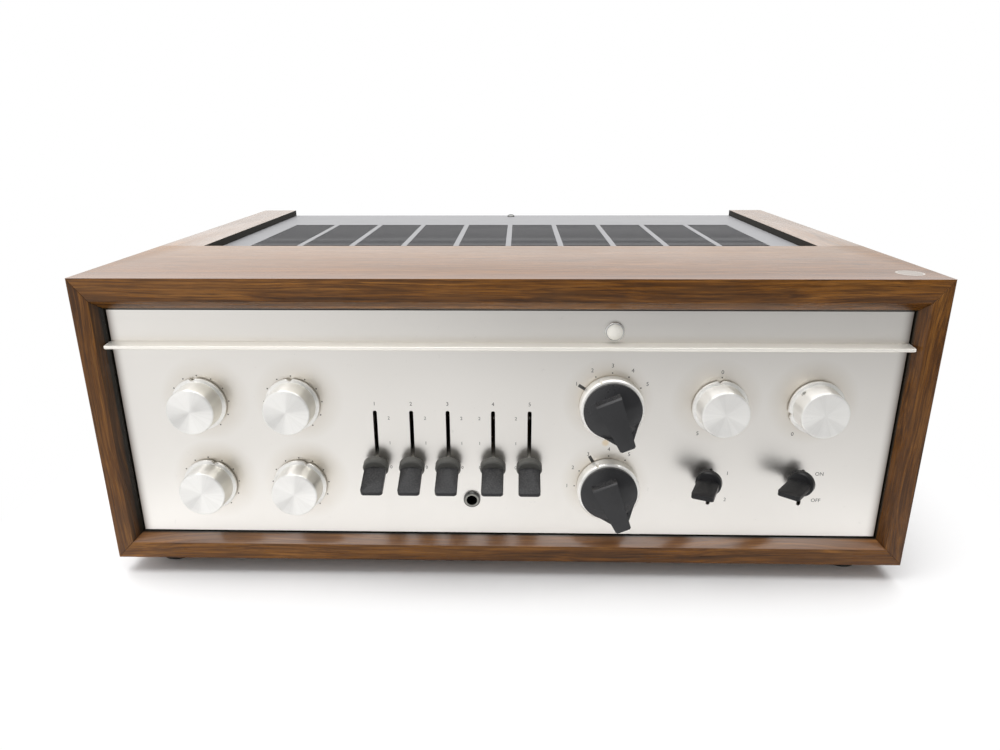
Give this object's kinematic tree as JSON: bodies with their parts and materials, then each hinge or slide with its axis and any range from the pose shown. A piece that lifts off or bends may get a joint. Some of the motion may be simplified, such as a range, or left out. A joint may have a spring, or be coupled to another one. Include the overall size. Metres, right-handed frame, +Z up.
{
  "type": "tube integrated amplifier",
  "caption": "Stereo tube integrated amplifier in a wood case, with turned knobs, pointer selectors, slot levers and toggles on a satin metal panel and a slotted top grille",
  "frame": {"origin": "middle of the footprint, on the surface under the feet", "axes": "+X to the right seen from the front, -Y to the front panel, +Z up"},
  "size_m": [0.482, 0.3582, 0.188],
  "materials": {
    "wood": "oiled walnut veneer",
    "satin_aluminium": "fine satin",
    "bright_aluminium": "polished",
    "turned_aluminium": "spun",
    "can_aluminium": "drawn",
    "grey_enamel": "satin enamel",
    "black_enamel": "satin enamel",
    "plated_steel": "zinc plated",
    "chrome": "plated",
    "black_plastic": "satin",
    "phenolic": "matte",
    "socket_plastic": "matte",
    "rubber": "matte",
    "lamp_lens": "frosted",
    "tube_glass": "clear"
  },
  "bodies": {
    "cabinet": {"top_board": "wood", "left_side_panel": "wood", "right_side_panel": "wood", "bottom_board": "wood", "front_panel": "satin_aluminium", "trim_bar": "bright_aluminium", "pilot_bezel": "chrome", "pilot_lens": "lamp_lens", "top_grille": "grey_enamel", "case_screws": "plated_steel", "chassis": "plated_steel", "rear_panel": "black_enamel", "bottom_plate": "plated_steel", "feet": "rubber", "control_pots": "plated_steel", "selector_switches": "phenolic", "lever_switches": "phenolic", "toggle_switches": "phenolic", "headphone_jack": "chrome", "power_transformer": "black_enamel", "output_transformers": "black_enamel", "tube_sockets": "socket_plastic", "output_tubes": "tube_glass", "small_tubes": "tube_glass", "filter_capacitors": "can_aluminium", "phono_jacks": "chrome", "speaker_terminals": "black_plastic", "fuse_holder": "black_plastic", "mains_outlets": "black_plastic", "cord_bushing": "rubber"},
    "treble_left": {"treble_left_knob": "turned_aluminium", "treble_left_shaft": "plated_steel"},
    "treble_right": {"treble_right_knob": "turned_aluminium", "treble_right_shaft": "plated_steel"},
    "bass_left": {"bass_left_knob": "turned_aluminium", "bass_left_shaft": "plated_steel"},
    "bass_right": {"bass_right_knob": "turned_aluminium", "bass_right_shaft": "plated_steel"},
    "balance": {"balance_knob": "turned_aluminium", "balance_shaft": "plated_steel"},
    "volume": {"volume_knob": "turned_aluminium", "volume_shaft": "plated_steel"},
    "input_selector": {"input_selector_drum": "turned_aluminium", "input_selector_pointer": "black_plastic", "input_selector_shaft": "plated_steel"},
    "mode_selector": {"mode_selector_drum": "turned_aluminium", "mode_selector_pointer": "black_plastic", "mode_selector_shaft": "plated_steel"},
    "bass_turnover_lever": {"bass_turnover_arm": "plated_steel", "bass_turnover_paddle": "black_plastic"},
    "treble_turnover_lever": {"treble_turnover_arm": "plated_steel", "treble_turnover_paddle": "black_plastic"},
    "tape_monitor_lever": {"tape_monitor_arm": "plated_steel", "tape_monitor_paddle": "black_plastic"},
    "low_cut_lever": {"low_cut_arm": "plated_steel", "low_cut_paddle": "black_plastic"},
    "high_cut_lever": {"high_cut_arm": "plated_steel", "high_cut_paddle": "black_plastic"},
    "speaker_switch": {"speaker_toggle": "black_plastic"},
    "power_switch": {"power_toggle": "black_plastic"}
  },
  "joints": [
    {"name": "treble_left_turn", "type": "hinge", "parent": "cabinet", "child": "treble_left", "pos_m": [-0.179, -0.15095, 0.1125], "axis": [0, 1, 0], "range_deg": [-143, 157]},
    {"name": "treble_right_turn", "type": "hinge", "parent": "cabinet", "child": "treble_right", "pos_m": [-0.124, -0.15095, 0.1125], "axis": [0, 1, 0], "range_deg": [-150, 150]},
    {"name": "bass_left_turn", "type": "hinge", "parent": "cabinet", "child": "bass_left", "pos_m": [-0.179, -0.15095, 0.0605], "axis": [0, 1, 0], "range_deg": [-167, 133]},
    {"name": "bass_right_turn", "type": "hinge", "parent": "cabinet", "child": "bass_right", "pos_m": [-0.124, -0.15095, 0.0605], "axis": [0, 1, 0], "range_deg": [-170, 130]},
    {"name": "balance_turn", "type": "hinge", "parent": "cabinet", "child": "balance", "pos_m": [0.124, -0.15095, 0.1125], "axis": [0, 1, 0], "range_deg": [-146, 154]},
    {"name": "volume_turn", "type": "hinge", "parent": "cabinet", "child": "volume", "pos_m": [0.179, -0.15095, 0.1125], "axis": [0, 1, 0], "range_deg": [-35, 245]},
    {"name": "input_selector_turn", "type": "hinge", "parent": "cabinet", "child": "input_selector", "pos_m": [0.0616, -0.15095, 0.1125], "axis": [0, 1, 0], "range_deg": [-35, 85]},
    {"name": "mode_selector_turn", "type": "hinge", "parent": "cabinet", "child": "mode_selector", "pos_m": [0.0616, -0.15095, 0.0605], "axis": [0, 1, 0], "range_deg": [-65, 55]},
    {"name": "bass_turnover_swing", "type": "hinge", "parent": "cabinet", "child": "bass_turnover_lever", "pos_m": [-0.0763, -0.11945, 0.092], "axis": [-1, 0, 0], "range_deg": [0, 48.4]},
    {"name": "treble_turnover_swing", "type": "hinge", "parent": "cabinet", "child": "treble_turnover_lever", "pos_m": [-0.0549, -0.11945, 0.092], "axis": [-1, 0, 0], "range_deg": [0, 48.4]},
    {"name": "tape_monitor_swing", "type": "hinge", "parent": "cabinet", "child": "tape_monitor_lever", "pos_m": [-0.0335, -0.11945, 0.092], "axis": [-1, 0, 0], "range_deg": [0, 48.4]},
    {"name": "low_cut_swing", "type": "hinge", "parent": "cabinet", "child": "low_cut_lever", "pos_m": [-0.0069, -0.11945, 0.092], "axis": [-1, 0, 0], "range_deg": [0, 48.4]},
    {"name": "high_cut_swing", "type": "hinge", "parent": "cabinet", "child": "high_cut_lever", "pos_m": [0.0145, -0.11945, 0.092], "axis": [-1, 0, 0], "range_deg": [0, 48.4]},
    {"name": "speaker_throw", "type": "hinge", "parent": "cabinet", "child": "speaker_switch", "pos_m": [0.1227, -0.12595, 0.0605], "axis": [1, 0, 0], "range_deg": [0, 24]},
    {"name": "power_throw", "type": "hinge", "parent": "cabinet", "child": "power_switch", "pos_m": [0.177, -0.12595, 0.0605], "axis": [1, 0, 0], "range_deg": [0, 24]}
  ]
}
